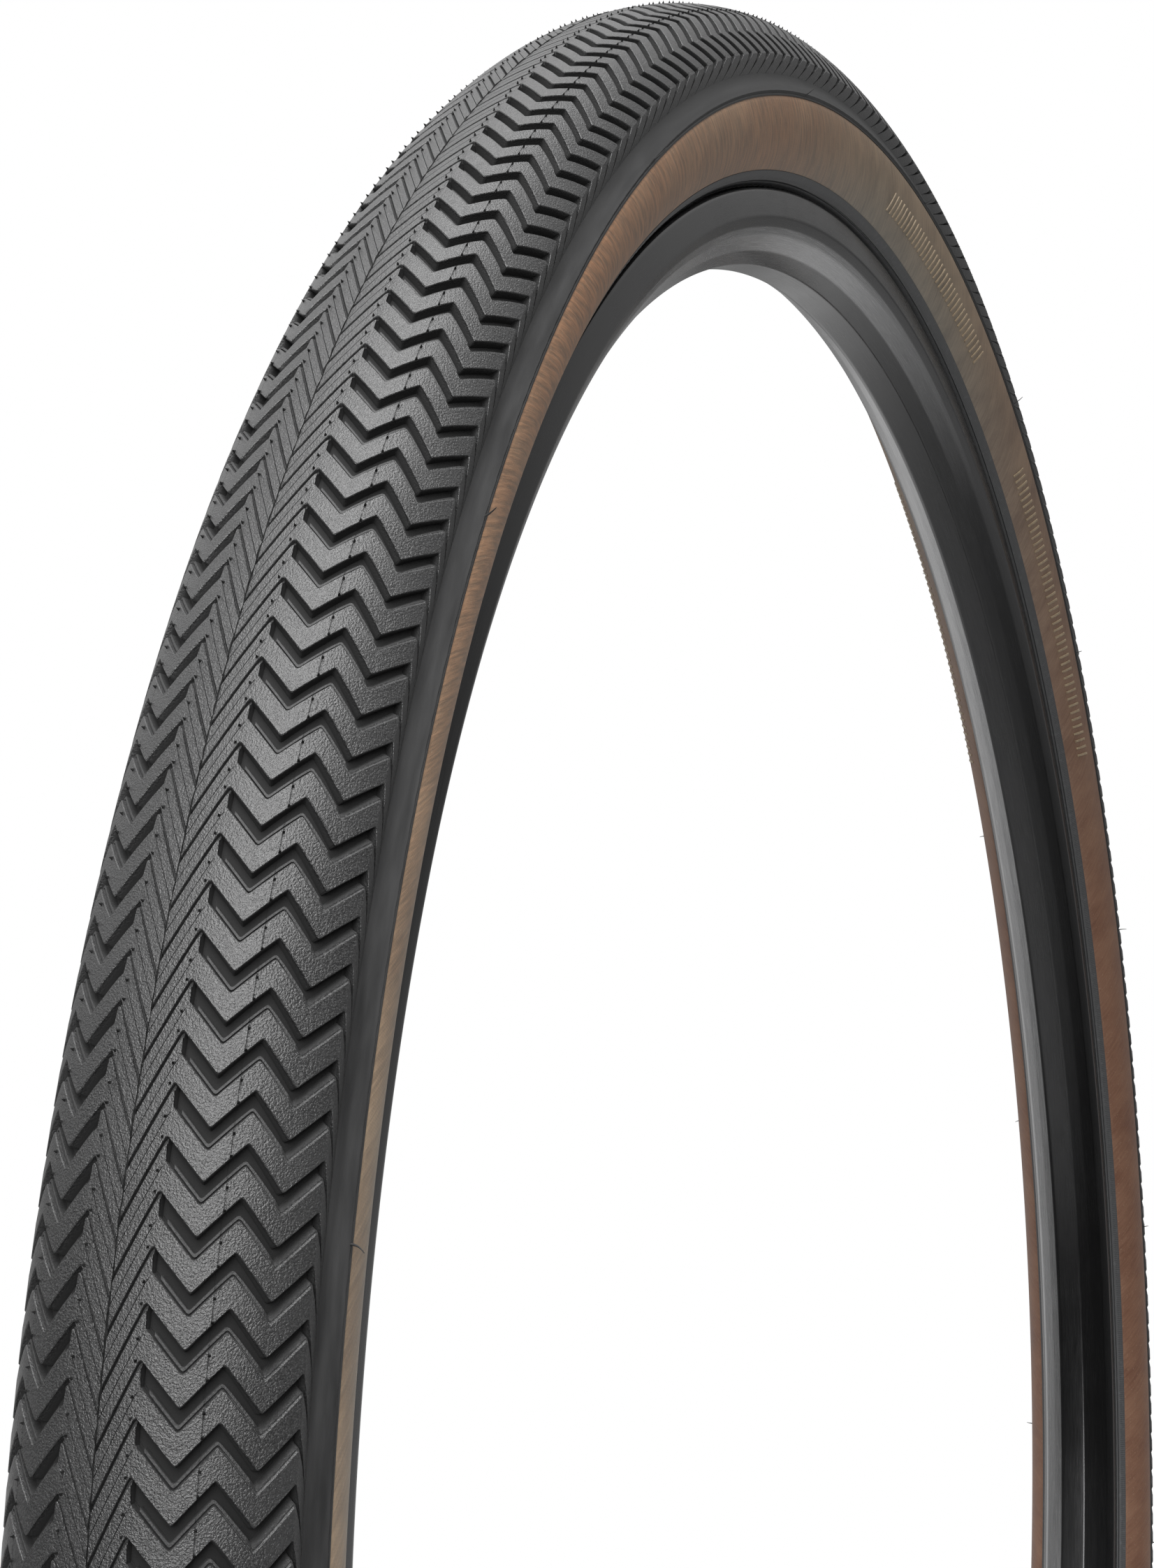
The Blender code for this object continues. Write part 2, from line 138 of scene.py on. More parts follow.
# ---- driving values of the studio --------------------------------------------------------------
# Each fade: two values of a direction's part, and the brightness or share at each.
SURROUND_BY_HEIGHT = (0.0, 0.6, 0.03, 0.95)
SURROUND_BY_FRONT = (-0.3, 0.9, 1.0, 0.65)
SURROUND_BY_SIDE = (0.1, 0.8, 1.0, 1.8)
BELOW_BY_HEIGHT = (-0.1, 0.15, 0.85, 0.0)
BELOW_BY_PLACE = (0.0, 0.9, 0.0, 1.0)
BELOW_LEAN = 0.3              # share of Y in the direction that BELOW_BY_PLACE fades along
ARCH_R = 0.95                 # the arch of softboxes in front of the wheel
ARCH_PANELS = ((162.0, -0.20, 1.48), (134.0, -0.15, 1.44), (106.0, -0.07, 0.66))   # angle, y, watts
ARCH_AIM = (-0.30, 0.0, 0.16)
PANEL_SPREAD = 62.0           # degrees
PANEL_SIZE = (0.50, 0.50)
FLOOR_R = 1.3
CAMERA_PLACE = Vector((-0.61073, -0.16658, 0.08136))
CAMERA_RIGHT = Vector((0.41925, -0.90787, 0.00332))
CAMERA_FORWARD = Vector((0.90116, 0.41659, 0.11989))
CAMERA_LENS = 74.03
CAMERA_SHIFT = (0.1088, 0.0595)


# ---- geometry helpers -----------------------------------------------------------------------
def section_point(angle, depth):
    """(radius, distance from the middle plane) at a section angle in radians, below the surface."""
    power = np.where(np.abs(angle) < math.pi / 2, SHOULDER_POWER, 2.0)
    spread = np.abs(np.cos(angle)) ** power + np.abs(np.sin(angle)) ** power
    reach = HALF_WIDTH * spread ** (-1.0 / power) - depth
    return SECTION_R + reach * np.cos(angle), reach * np.sin(angle)


SECTION_ANGLES = np.linspace(0.0, math.pi, 1441)
SECTION_LINE = np.stack(section_point(SECTION_ANGLES, 0.0), -1)
SECTION_ARC = np.concatenate(
    [[0.0], np.cumsum(np.linalg.norm(np.diff(SECTION_LINE, axis=0), axis=1))])


def angle_at(distance):
    """The section angle at a distance from the centre seam along the surface."""
    return np.interp(distance, SECTION_ARC, SECTION_ANGLES)


def surface_point(distance, depth=0.0):
    return section_point(angle_at(distance), depth)


def at(table, distance):
    places, values = zip(*table)
    return np.interp(distance, places, values)


def groove_line(distance):
    """The groove's upper edge, rounded at its corners."""
    offsets = np.linspace(-CORNER, CORNER, 9)
    spread = np.asarray(distance)[..., None] + offsets
    return at(GROOVE_LINE, np.abs(spread)).mean(-1)


def new_object(name, points, faces, mat, smooth_angle=35.0):
    mesh = bpy.data.meshes.new(name)
    mesh.from_pydata([tuple(p) for p in points], [], faces)
    mesh.validate()
    mesh.shade_smooth()
    mesh.set_sharp_from_angle(angle=math.radians(smooth_angle))
    mesh.materials.append(mat)
    obj = bpy.data.objects.new(name, mesh)
    bpy.context.scene.collection.objects.link(obj)
    return obj


def place(obj, body, slot, *nodes):
    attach(obj, body)
    if nodes:
        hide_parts(*nodes)
    return obj


def counter_clockwise(outline):
    outline = np.asarray(outline, float)
    r, y = outline[:, 0], outline[:, 1]
    area = np.sum(r * np.roll(y, -1) - np.roll(r, -1) * y)
    return outline if area > 0 else outline[::-1]


def rounded(outline, radius, steps=4):
    """The closed outline with each corner cut back and rounded."""
    outline = np.asarray(outline, float)
    out = []
    for i, corner in enumerate(outline):
        before, after = outline[i - 1], outline[(i + 1) % len(outline)]
        reach_in = min(radius, np.linalg.norm(before - corner) * 0.45)
        reach_out = min(radius, np.linalg.norm(after - corner) * 0.45)
        start = corner + (before - corner) / np.linalg.norm(before - corner) * reach_in
        end = corner + (after - corner) / np.linalg.norm(after - corner) * reach_out
        for t in np.linspace(0.0, 1.0, steps + 1):
            out.append((1 - t) ** 2 * start + 2 * t * (1 - t) * corner + t * t * end)
    return np.array(out)


def sweep_faces(steps, count):
    """Quads of a closed ring of outlines, outward for counter-clockwise outlines."""
    faces = []
    for i in range(steps):
        a, b = i * count, ((i + 1) % steps) * count
        for j in range(count):
            k = (j + 1) % count
            faces.append((a + j, a + k, b + k, b + j))
    return faces


def axle_ring(name, outlines, mat, steps=720, smooth_angle=35.0):
    """A ring about the axle: one outline of (radius, y), or one for each step."""
    outlines = np.asarray(outlines, float)
    if outlines.ndim == 2:
        outlines = np.repeat(counter_clockwise(outlines)[None], steps, axis=0)
    steps, count = outlines.shape[:2]
    turn = np.arange(steps)[:, None] * TAU / steps
    r, y = outlines[..., 0], outlines[..., 1]
    points = np.stack([r * np.cos(turn), y, r * np.sin(turn)], -1).reshape(-1, 3)
    return new_object(name, points, sweep_faces(steps, count), mat, smooth_angle)


def stem_ring(name, outlines, mat, steps=64, smooth_angle=35.0):
    """A ring about the valve's axis (Z): one outline of (radius, z), or one for each step."""
    outlines = np.asarray(outlines, float)
    if outlines.ndim == 2:
        outlines = np.repeat(counter_clockwise(outlines)[None], steps, axis=0)
    steps, count = outlines.shape[:2]
    turn = -np.arange(steps)[:, None] * TAU / steps
    r, z = outlines[..., 0], outlines[..., 1]
    points = np.stack([r * np.cos(turn), r * np.sin(turn), z], -1).reshape(-1, 3)
    return new_object(name, points, sweep_faces(steps, count), mat, smooth_angle)


def cad_outlines(node, flat_axis, height_axis):
    """The closed outlines where a turned CAD node crosses its half plane towards +X."""
    mesh = NODES[node].data
    edges = {}
    for edge in mesh.edges:
        ends = [mesh.vertices[v].co for v in edge.vertices]
        if any(abs(p[flat_axis]) > 2e-6 or p[0] < -1e-6 for p in ends):
            continue
        pair = [(round(p[0], 6), round(p[height_axis], 6)) for p in ends]
        if pair[0] == pair[1]:
            continue
        for here, there in (pair, pair[::-1]):
            edges.setdefault(here, set()).add(there)
    loops = []
    while edges:
        start = min(edges)
        loop, here, previous = [start], start, None
        while True:
            onward = sorted(p for p in edges[here] if p != previous)
            if not onward:
                break
            previous, here = here, onward[0]
            if here == start:
                break
            loop.append(here)
        for p in loop:
            edges.pop(p)
        loops.append(loop)
    return sorted(loops, key=lambda loop: -max(p[0] for p in loop))


# ---- material helpers -----------------------------------------------------------------------
def node(tree, kind, inputs=None, **settings):
    made = tree.nodes.new(kind)
    for key, value in settings.items():
        setattr(made, key, value)
    for key, value in (inputs or {}).items():
        if isinstance(value, bpy.types.NodeSocket):
            tree.links.new(value, made.inputs[key])
        else:
            made.inputs[key].default_value = value
    return made


def maths(tree, operation, *values):
    inputs = {i: v for i, v in enumerate(values)}
    return node(tree, "ShaderNodeMath", inputs, operation=operation).outputs[0]


def times(tree, first, second):
    return maths(tree, "MULTIPLY", first, second)


def plus(tree, first, second):
    return maths(tree, "ADD", first, second)


def vector(tree, x, y, z):
    return node(tree, "ShaderNodeCombineXYZ", {0: x, 1: y, 2: z}).outputs[0]


def scaled(tree, *parts):
    """A vector of three values, each given with the factor that stretches it."""
    return vector(tree, *(times(tree, value, factor) for value, factor in parts))


def noise(tree, where, scale, detail=2.0, roughness=0.5):
    inputs = {"Vector": where, "Scale": scale, "Detail": detail, "Roughness": roughness}
    return node(tree, "ShaderNodeTexNoise", inputs).outputs["Fac"]


def fade(tree, value, low, high, to_low=0.0, to_high=1.0):
    inputs = {"Value": value, "From Min": low, "From Max": high,
              "To Min": to_low, "To Max": to_high}
    return node(tree, "ShaderNodeMapRange", inputs).outputs[0]


def blend_colour(tree, share, colour_a, colour_b):
    """A mix of two colours, each an (r, g, b) or a colour socket."""
    mix = node(tree, "ShaderNodeMix", data_type="RGBA")
    for key, value in ((0, share), (6, colour_a), (7, colour_b)):
        if isinstance(value, bpy.types.NodeSocket):
            tree.links.new(value, mix.inputs[key])
        elif key == 0:
            mix.inputs[key].default_value = value
        else:
            mix.inputs[key].default_value = (*value, 1.0)
    return mix.outputs[2]


def bump(tree, height, strength, distance, under=None):
    inputs = {"Height": height, "Strength": strength, "Distance": distance}
    if under is not None:
        inputs["Normal"] = under
    return node(tree, "ShaderNodeBump", inputs).outputs[0]


def object_place(tree):
    return node(tree, "ShaderNodeTexCoord").outputs["Object"]


def place_parts(tree):
    """The surface's X, Y and Z."""
    return node(tree, "ShaderNodeSeparateXYZ", {0: object_place(tree)}).outputs


def wheel_place(tree):
    """(radius, distance along the axle, angle round the wheel) of the surface."""
    x, y, z = place_parts(tree)
    radius = maths(tree, "SQRT", plus(tree, times(tree, x, x), times(tree, z, z)))
    return radius, y, maths(tree, "ARCTAN2", z, x)


def leaning(tree, turn, other, lean):
    """A length that grows round the wheel and, by the lean, with another length."""
    return plus(tree, times(tree, turn, WALL_R), times(tree, other, lean))


def new_material(name, colour, roughness, metallic=0.0, **sockets):
    mat = bpy.data.materials.new(name)
    mat.use_nodes = True
    shader = mat.node_tree.nodes["Principled BSDF"]
    shader.inputs["Base Color"].default_value = (*colour, 1.0)
    shader.inputs["Roughness"].default_value = roughness
    shader.inputs["Metallic"].default_value = metallic
    for key, value in sockets.items():
        shader.inputs[key.replace("_", " ")].default_value = value
    return mat, mat.node_tree, shader


def link(tree, socket, shader, name):
    tree.links.new(socket, shader.inputs[name])


# ---- materials ------------------------------------------------------------------------------
def tread_rubber_material():
    """Matt moulded rubber: pebbled rib tops with pale grains of wear, and smooth floors painted
    near-black as shade, the more the deeper they lie.
    """
    mat, tree, shader = new_material("tread_rubber", (0.014, 0.014, 0.0145), 0.4)
    where = object_place(tree)
    sunk = node(tree, "ShaderNodeAttribute", attribute_name="sunk").outputs["Fac"]
    grain = noise(tree, where, 3300.0, 2.0, 0.6)
    blotch = noise(tree, where, 90.0, 3.0)
    top = blend_colour(tree, fade(tree, grain, 0.45, 0.75),
                       (0.007, 0.007, 0.0072), (0.034, 0.034, 0.034))
    top = blend_colour(tree, fade(tree, blotch, 0.35, 0.75), top, (0.016, 0.016, 0.0162))
    # painted shade: the deeper a point lies below the ribs' tops, the nearer its colour goes to
    # near-black
    colour = blend_colour(tree, fade(tree, sunk, 0.1, 0.8), top, (0.003, 0.003, 0.003))
    link(tree, colour, shader, "Base Color")
    link(tree, fade(tree, sunk, 0.0, 0.5, 0.36, 0.95), shader, "Roughness")
    relief = times(tree, grain, fade(tree, sunk, 0.0, 0.6, 1.0, 0.25))
    link(tree, bump(tree, relief, 0.8, 0.00026), shader, "Normal")
    return mat


def wing_rubber_material():
    """The smooth black rubber between the tread and the tan sidewall."""
    mat, tree, shader = new_material("wing_rubber", (0.012, 0.012, 0.012), 0.55,
                                     Specular_IOR_Level=0.2)
    radius, y, turn = wheel_place(tree)
    streak = noise(tree, scaled(tree, (radius, 400.0), (y, 400.0), (turn, 22.0)), 1.0, 3.0)
    grain = noise(tree, object_place(tree), 3800.0, 2.0)
    colour = blend_colour(tree, fade(tree, streak, 0.3, 0.7),
                          (0.013, 0.013, 0.0132), (0.026, 0.026, 0.0262))
    link(tree, colour, shader, "Base Color")
    link(tree, fade(tree, streak, 0.3, 0.7, 0.48, 0.64), shader, "Roughness")
    link(tree, bump(tree, grain, 0.15, 0.0001), shader, "Normal")
    return mat


def tan_rubber_material():
    """Thin tan rubber over the casing's cords: mottled and streaked, with the threads just showing.

    It is greyer beside the rim, orange on the upper part towards -X, and darker and redder towards
    +X, where the darkening is painted shade.
    """
    mat, tree, shader = new_material("tan_rubber", (0.16, 0.11, 0.07), 0.55)
    radius, y, turn = wheel_place(tree)
    where = object_place(tree)
    cloud = noise(tree, scaled(tree, (radius, 60.0), (y, 60.0), (turn, 26.0)), 1.0, 4.0, 0.6)
    along = times(tree, leaning(tree, turn, radius, 1.0), 70.0)
    across = times(tree, leaning(tree, turn, radius, -1.0), 900.0)
    streak = noise(tree, vector(tree, along, across, 0.0), 1.0, 3.0, 0.6)
    mottle = plus(tree, times(tree, cloud, 0.55), times(tree, streak, 0.45))
    warm = blend_colour(tree, fade(tree, mottle, 0.38, 0.62),
                        (0.120, 0.083, 0.053), (0.220, 0.160, 0.104))
    cool = blend_colour(tree, fade(tree, mottle, 0.38, 0.62),
                        (0.098, 0.086, 0.066), (0.185, 0.163, 0.128))
    colour = blend_colour(tree, fade(tree, radius, 0.318, 0.333), cool, warm)

    x, _, z = place_parts(tree)
    orange = blend_colour(tree, fade(tree, streak, 0.4, 0.6),
                          (0.150, 0.080, 0.042), (0.270, 0.130, 0.062))
    patch = times(tree, fade(tree, x, -0.03, -0.15), fade(tree, z, 0.08, 0.20))
    wide = noise(tree, where, 7.0, 2.0)
    patch = times(tree, patch, fade(tree, wide, 0.35, 0.55, 0.35, 0.85))
    colour = blend_colour(tree, patch, colour, orange)
    # painted shade: towards +X the tan goes darker, and redder, standing in for the side that gets
    # less light
    painted_shade_red = blend_colour(tree, fade(tree, mottle, 0.35, 0.65),
                        (0.096, 0.036, 0.018), (0.156, 0.074, 0.040))
    colour = blend_colour(tree, fade(tree, x, 0.05, 0.28, 0.0, 0.9), colour, painted_shade_red)
    speck = noise(tree, where, 1500.0, 2.0)
    colour = blend_colour(tree, fade(tree, speck, 0.62, 0.75, 0.0, 0.35), colour, (0.26, 0.20, 0.14))
    link(tree, colour, shader, "Base Color")
    link(tree, fade(tree, mottle, 0.3, 0.7, 0.5, 0.62), shader, "Roughness")

    threads = []
    for lean in (1.0, -1.0):
        along = leaning(tree, turn, radius, lean)
        threads.append(maths(tree, "SINE", times(tree, along, TAU / 0.0009)))
    weave = times(tree, threads[0], threads[1])
    surface = bump(tree, weave, 0.10, 0.00006)
    link(tree, bump(tree, mottle, 0.35, 0.0008, surface), shader, "Normal")
    return mat


def mark_rubber_material():
    """The raised bars' tan rubber, a little paler than the sidewall."""
    mat, tree, shader = new_material("raised_tan_rubber", (0.27, 0.20, 0.12), 0.45)
    speck = noise(tree, object_place(tree), 900.0, 2.0)
    colour = blend_colour(tree, fade(tree, speck, 0.3, 0.7),
                          (0.18, 0.13, 0.08), (0.26, 0.20, 0.125))
    link(tree, colour, shader, "Base Color")
    return mat


def chafer_material():
    """A rubberised woven strip: dark grey with a fine thread pattern and pale dust."""
    mat, tree, shader = new_material("chafer_fabric", (0.05, 0.055, 0.06), 0.6)
    radius, y, turn = wheel_place(tree)
    slope = plus(tree, radius, y)
    across = maths(tree, "SINE", times(tree, slope, TAU / 0.0006))
    along = maths(tree, "SINE", times(tree, turn, TAU / 0.0022))
    weave = times(tree, across, along)
    dust = noise(tree, object_place(tree), 700.0, 3.0)
    colour = blend_colour(tree, fade(tree, weave, -1.0, 1.0),
                          (0.024, 0.0242, 0.0245), (0.052, 0.053, 0.055))
    colour = blend_colour(tree, fade(tree, dust, 0.55, 0.8, 0.0, 0.5), colour,
                          (0.085, 0.086, 0.088))
    link(tree, colour, shader, "Base Color")
    link(tree, bump(tree, weave, 0.35, 0.00008), shader, "Normal")
    return mat


def cloth_material(name, colour, thread, lean=0.0):
    """Rubberised cord: parallel threads round the wheel, leaning across it."""
    mat, tree, shader = new_material(name, colour, 0.75)
    _, y, turn = wheel_place(tree)
    along = leaning(tree, turn, y, lean)
    cord = maths(tree, "SINE", times(tree, along, TAU / thread))
    dark = tuple(c * 0.55 for c in colour)
    link(tree, blend_colour(tree, fade(tree, cord, -1.0, 1.0), dark, colour), shader, "Base Color")
    link(tree, bump(tree, cord, 0.5, 0.0001), shader, "Normal")
    return mat


def smooth_rubber_material(name, colour, roughness, scale, specular=0.5):
    """Plain rubber or plastic with a faint cloudy bloom."""
    mat, tree, shader = new_material(name, colour, roughness, Specular_IOR_Level=specular)
    cloud = noise(tree, object_place(tree), scale, 3.0)
    pale = tuple(c * 1.6 + 0.01 for c in colour)
    clouded = blend_colour(tree, fade(tree, cloud, 0.35, 0.75), colour, pale)
    link(tree, clouded, shader, "Base Color")
    rough = fade(tree, cloud, 0.3, 0.7, roughness - 0.08, roughness + 0.08)
    link(tree, rough, shader, "Roughness")
    link(tree, bump(tree, cloud, 0.12, 0.0002), shader, "Normal")
    return mat


def rim_material():
    """Black anodised aluminium with fine brushing; its slanted inner faces are painted a paler
    brushed grey as a painted reflection.

    The left face has this painted reflection all round the wheel, the right one only high up towards
    -X.
    """
    mat, tree, shader = new_material("black_anodised", (0.05, 0.05, 0.052), 0.2, 0.85)
    radius, y, turn = wheel_place(tree)
    brushed = scaled(tree, (radius, 9000.0), (y, 9000.0), (turn, 30.0))
    lines = noise(tree, brushed, 1.0, 2.0, 0.6)
    haze = noise(tree, object_place(tree), 45.0, 3.0)
    black = blend_colour(tree, fade(tree, lines, 0.3, 0.7),
                         (0.020, 0.020, 0.0205), (0.034, 0.034, 0.0345))
    # painted reflection: a pale brushed grey that stands in for light the slanted inner faces reflect
    painted_reflection_grey = blend_colour(tree, fade(tree, lines, 0.3, 0.7), (0.17, 0.17, 0.172), (0.34, 0.34, 0.342))
    x, _, z = place_parts(tree)
    # where the painted reflection goes: the left slanted face all round, the right one only high up
    # towards -X
    patch = times(tree, fade(tree, z, 0.10, 0.22), fade(tree, x, 0.12, -0.06, 0.0, 0.8))
    right = times(tree, fade(tree, y, -0.0072, -0.0076), patch)
    both = plus(tree, fade(tree, y, 0.0046, 0.0050), right)
    slanted = times(tree, both, fade(tree, radius, 0.3084, 0.3080))
    link(tree, blend_colour(tree, slanted, black, painted_reflection_grey), shader, "Base Color")
    rough = plus(tree, fade(tree, lines, 0.3, 0.7, 0.17, 0.25),
                 fade(tree, haze, 0.3, 0.7, 0.0, 0.06))
    link(tree, rough, shader, "Roughness")
    link(tree, bump(tree, lines, 0.12, 0.00004), shader, "Normal")
    return mat


def metal_material(name, colour, roughness, scale):
    """Bare metal with fine scratches."""
    mat, tree, shader = new_material(name, colour, roughness, 1.0)
    scratches = noise(tree, object_place(tree), scale, 4.0, 0.65)
    dark = tuple(c * 0.72 for c in colour)
    scratched = blend_colour(tree, fade(tree, scratches, 0.3, 0.7), dark, colour)
    link(tree, scratched, shader, "Base Color")
    rough = fade(tree, scratches, 0.3, 0.7, roughness - 0.08, roughness + 0.12)
    link(tree, rough, shader, "Roughness")
    link(tree, bump(tree, scratches, 0.08, 0.00005), shader, "Normal")
    return mat


def tape_material():
    """Glossy film with the glass threads that stiffen it."""
    mat, tree, shader = new_material("tape_film", (0.10, 0.22, 0.45), 0.3)
    _, y, _ = place_parts(tree)
    thread = maths(tree, "SINE", times(tree, y, TAU / 0.001))
    colour = blend_colour(tree, fade(tree, thread, 0.3, 1.0),
                          (0.09, 0.20, 0.42), (0.20, 0.34, 0.58))
    link(tree, colour, shader, "Base Color")
    link(tree, bump(tree, thread, 0.3, 0.00005), shader, "Normal")
    return mat


TREAD = tread_rubber_material()
WING = wing_rubber_material()
# near-black and almost without gloss, darker than the tread's rubber: painted shade on the mould's
# nubs and centre fin
FLASH = smooth_rubber_material("flash_rubber_painted_shade", (0.002, 0.002, 0.002), 0.9, 900.0, specular=0.1)
TAN = tan_rubber_material()
MARK = mark_rubber_material()
CHAFER = chafer_material()
CASING = cloth_material("cord_fabric", (0.45, 0.36, 0.26), 0.0008, 1.0)
BELT = cloth_material("belt_fabric", (0.55, 0.48, 0.20), 0.0010, -1.0)
ARAMID = cloth_material("aramid", (0.65, 0.52, 0.18), 0.0006, 0.6)
BUTYL = smooth_rubber_material("butyl", (0.025, 0.025, 0.026), 0.5, 120.0)
SEAL = smooth_rubber_material("valve_rubber", (0.022, 0.022, 0.022), 0.55, 900.0)
PLASTIC = smooth_rubber_material("cap_plastic", (0.018, 0.018, 0.019), 0.38, 1500.0)
RIM = rim_material()
STEM_METAL = metal_material("valve_metal", (0.62, 0.60, 0.57), 0.3, 1800.0)
BRASS = metal_material("brass", (0.72, 0.52, 0.22), 0.28, 1800.0)
STEEL = metal_material("bare_steel", (0.55, 0.55, 0.56), 0.35, 1200.0)
TAPE = tape_material()


# ---- tread ----------------------------------------------------------------------------------
def groove_rows(distance, hairline):
    """One pitch of the tread, as (rows, places across it) of three values: offset round the wheel,
    depth, and depth below the ribs' tops.

    From the groove's upper edge down: its wall and floor, the low bar that stands in it, the slot
    between the bar and the next rib, and the rib's edge.
    """
    floor, width = at(FLOOR_WIDTH, distance), at(GROOVE_WIDTH, distance)
    depth = at(GROOVE_DEPTH, distance)
    bar_start, bar_end = at(SHELF_START, distance), at(SHELF_END, distance)
    slot_depth = at(SLOT_DEPTH, distance)
    slot = np.minimum(SLOT_WIDTH, (width - floor) * 0.45)
    edge_depth = np.minimum(EDGE * 0.8, depth)
    rows = [(-EDGE + 0 * floor, 0 * floor),
            (0 * floor, edge_depth),
            (np.minimum(EDGE, floor * 0.3), depth),
            (np.maximum(floor - 0.1 * MM, floor * 0.6), depth),
            (floor, bar_start + 0.06 * MM),
            (floor + (width - floor) * 0.1, bar_start),
            (width - slot, bar_end),
            (width - slot * 0.75, np.minimum(bar_end + slot_depth, depth)),
            (width - slot * 0.3, np.minimum(bar_end + slot_depth, depth)),
            (width, edge_depth),
            (width + EDGE, 0 * floor)]
    if hairline:
        dip = at(HAIRLINE_DEPTH, distance)
        rows += [(HAIRLINE_AT - HAIRLINE_HALF + 0 * floor, 0 * floor),
                 (HAIRLINE_AT + 0 * floor, dip),
                 (HAIRLINE_AT + HAIRLINE_HALF + 0 * floor, 0 * floor)]
    offsets, depths = (np.array(x) for x in zip(*rows))
    top = at(TOP_DEPTH, distance)
    seams = np.minimum(np.abs(distance - SEAM), np.abs(distance - ZONE_LINE))
    depths = np.maximum(depths + np.minimum(top, 0.0), top)
    depths = depths + np.interp(seams, (0.0, EDGE), (0.07 * MM, 0.0))
    return offsets, depths, depths - top


def tread_zone(name, side, columns, inner_columns, hairline=False):
    """One half's ring of tread rubber between two places across it, with every groove cut."""
    columns = np.array(columns)
    offsets, depths, below_top = groove_rows(columns, hairline)
    count, width = offsets.shape
    start = np.arange(PITCHES)[:, None, None] * PITCH + PHASES[side]
    turn = (start + groove_line(columns) + offsets) / TIRE_R
    r, y = section_point(angle_at(columns), depths)
    r, y = np.broadcast_to(r, turn.shape), np.broadcast_to(y * side, turn.shape)
    top = np.stack([r * np.cos(turn), y, r * np.sin(turn)], -1).reshape(-1, 3)
    # depth below the ribs' tops as a share of 1.8 mm; the tread's material paints shade into the
    # grooves by it
    sunk = np.broadcast_to(below_top / (1.8 * MM), turn.shape).reshape(-1)

    inner = columns[inner_columns]
    inner_turn = (start[:, 0] + groove_line(inner)) / TIRE_R
    r, y = section_point(angle_at(inner), TREAD_DEPTH)
    r, y = np.broadcast_to(r, inner_turn.shape), np.broadcast_to(y * side, inner_turn.shape)
    under = np.stack([r * np.cos(inner_turn), y, r * np.sin(inner_turn)], -1).reshape(-1, 3)

    def top_index(pitch, row, column):
        lap, row = divmod(row, count)
        return (((pitch + lap) % PITCHES) * count + row) * width + column

    def under_index(pitch, column):
        return len(top) + (pitch % PITCHES) * len(inner) + column

    faces = []
    for pitch in range(PITCHES):
        for row in range(count):
            for column in range(width - 1):
                faces.append((top_index(pitch, row, column),
                              top_index(pitch, row, column + 1),
                              top_index(pitch, row + 1, column + 1),
                              top_index(pitch, row + 1, column)))
        for column in range(len(inner) - 1):
            faces.append((under_index(pitch, column), under_index(pitch + 1, column),
                          under_index(pitch + 1, column + 1), under_index(pitch, column + 1)))
        for column, inner_column, inward in ((0, 0, True), (width - 1, len(inner) - 1, False)):
            rim = [top_index(pitch, row, column) for row in range(count + 1)]
            face = rim + [under_index(pitch + 1, inner_column), under_index(pitch, inner_column)]
            faces.append(tuple(face if inward else face[::-1]))
    if side < 0:
        faces = [face[::-1] for face in faces]
    obj = new_object(name, np.concatenate([top, under]), faces, TREAD, TREAD_SMOOTHING)
    # the sunk attribute: the depth that the material uses for painted shade and rougher floors in the
    # grooves
    mark = obj.data.attributes.new("sunk", "FLOAT", "POINT")
    mark.data.foreach_set("value", np.concatenate([sunk, np.ones(len(under))]).astype(np.float32))
    return obj


def around(places):
    """Each corner of the zigzag with a column on both sides of it."""
    return [p + o for p in places for o in (-CORNER, 0.0, CORNER)]


CROWN_COLUMNS = sorted([SEAM, EDGE, 1.3 * MM, 2.6 * MM, 3.9 * MM, POCKET - EDGE, POCKET, 6.1 * MM,
                        6.5 * MM, 6.7 * MM, 8.0 * MM, 9.4 * MM, 12.3 * MM, ZONE_LINE - EDGE,
                        ZONE_LINE, PEAK_1 - CORNER, PEAK_1] + around([VALLEY_1]))
SHOULDER_COLUMNS = sorted([ZONE_LINE, ZONE_LINE + EDGE, 14.9 * MM, 17.4 * MM, 19.0 * MM, 20.5 * MM,
                           22.6 * MM, 24.4 * MM, 26.0 * MM, 28.5 * MM, 29.5 * MM, GROOVE_TIP,
                           WING_START] + around([PEAK_2, VALLEY_2, LUG_END]))


def make_tread():
    """Each half in two zones, crown and shoulder, with a few of their columns on the underside."""
    crown_under = [0, 8, len(CROWN_COLUMNS) - 1]
    shoulder_under = [0, 6, 12, len(SHOULDER_COLUMNS) - 1]
    for word, side in SIDES:
        crown = tread_zone("tread_crown_" + word, side, CROWN_COLUMNS, crown_under, hairline=True)
        place(crown, "root", "tread_rubber", "tread_cap")
        shoulder = tread_zone("tread_shoulder_" + word, side, SHOULDER_COLUMNS, shoulder_under)
        place(shoulder, "root", "tread_rubber", "tread_cap")


